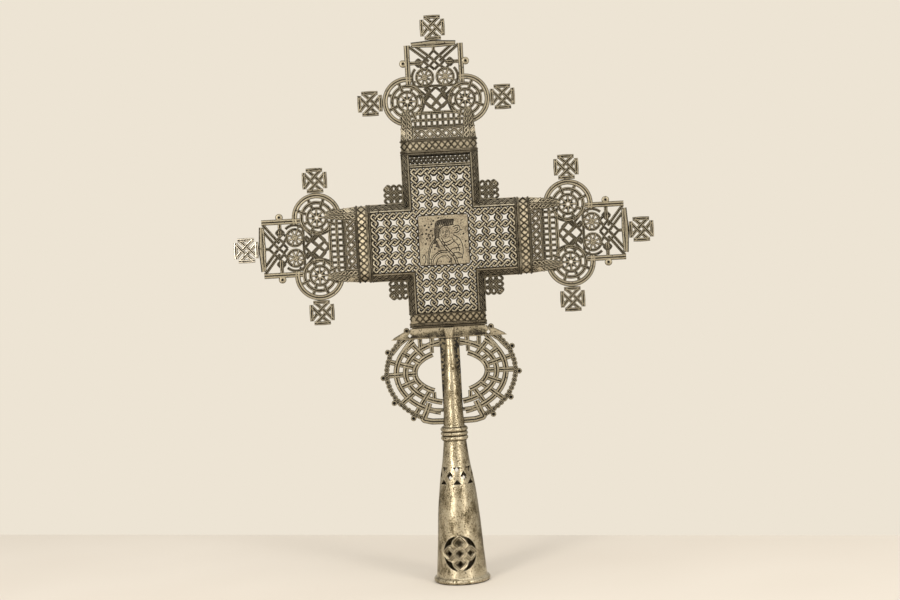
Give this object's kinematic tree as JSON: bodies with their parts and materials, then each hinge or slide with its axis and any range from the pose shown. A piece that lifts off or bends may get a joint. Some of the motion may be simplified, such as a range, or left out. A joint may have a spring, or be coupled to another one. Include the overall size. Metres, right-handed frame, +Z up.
{
  "type": "processional cross",
  "caption": "Hand-held processional cross: an openwork metal cross head with woven lattice panels, pierced terminals and a lower ring, on a conical staff socket.",
  "frame": {"origin": "centre of the staff socket's mouth, in the plane of its rolled rim, which is the cross's lowest plane", "axes": "+Z up along the staff towards the top terminal, -Y the front face with the figured plate, +X to the right seen from the front"},
  "size_m": [0.3864, 0.052, 0.5207],
  "materials": {
    "tarnished_metal": "tarnished",
    "worn_metal": "satin"
  },
  "bodies": {
    "root": {"band_bottom_back": "tarnished_metal", "band_bottom_front": "tarnished_metal", "band_left_back": "tarnished_metal", "band_left_front": "tarnished_metal", "band_right_back": "tarnished_metal", "band_right_front": "tarnished_metal", "band_top_back": "tarnished_metal", "band_top_front": "tarnished_metal", "corner_knot_lower_left": "tarnished_metal", "corner_knot_lower_right": "tarnished_metal", "corner_knot_upper_left": "tarnished_metal", "corner_knot_upper_right": "tarnished_metal", "edge_strips_bottom_back": "tarnished_metal", "edge_strips_bottom_front": "tarnished_metal", "edge_strips_left_back": "tarnished_metal", "edge_strips_left_front": "tarnished_metal", "edge_strips_right_back": "tarnished_metal", "edge_strips_right_front": "tarnished_metal", "edge_strips_top_back": "tarnished_metal", "edge_strips_top_front": "tarnished_metal", "finial_left_end": "tarnished_metal", "finial_left_first": "tarnished_metal", "finial_left_second": "tarnished_metal", "finial_right_end": "tarnished_metal", "finial_right_first": "tarnished_metal", "finial_right_second": "tarnished_metal", "finial_top_end": "tarnished_metal", "finial_top_first": "tarnished_metal", "finial_top_second": "tarnished_metal", "foot_rim": "worn_metal", "keystone_back": "tarnished_metal", "keystone_front": "tarnished_metal", "knop": "worn_metal", "lattice_bottom_back": "tarnished_metal", "lattice_bottom_front": "tarnished_metal", "lattice_left_back": "tarnished_metal", "lattice_left_front": "tarnished_metal", "lattice_right_back": "tarnished_metal", "lattice_right_front": "tarnished_metal", "lattice_top_back": "tarnished_metal", "lattice_top_front": "tarnished_metal", "lower_plate": "tarnished_metal", "plaque_back": "tarnished_metal", "plaque_front": "tarnished_metal", "ring_left": "tarnished_metal", "ring_right": "tarnished_metal", "slope_left_back": "tarnished_metal", "slope_left_front": "tarnished_metal", "slope_right_back": "tarnished_metal", "slope_right_front": "tarnished_metal", "slope_top_back": "tarnished_metal", "slope_top_front": "tarnished_metal", "socket": "worn_metal", "spine": "tarnished_metal", "stem": "worn_metal", "terminal_left": "tarnished_metal", "terminal_right": "tarnished_metal", "terminal_top": "tarnished_metal"}
  },
  "joints": []
}
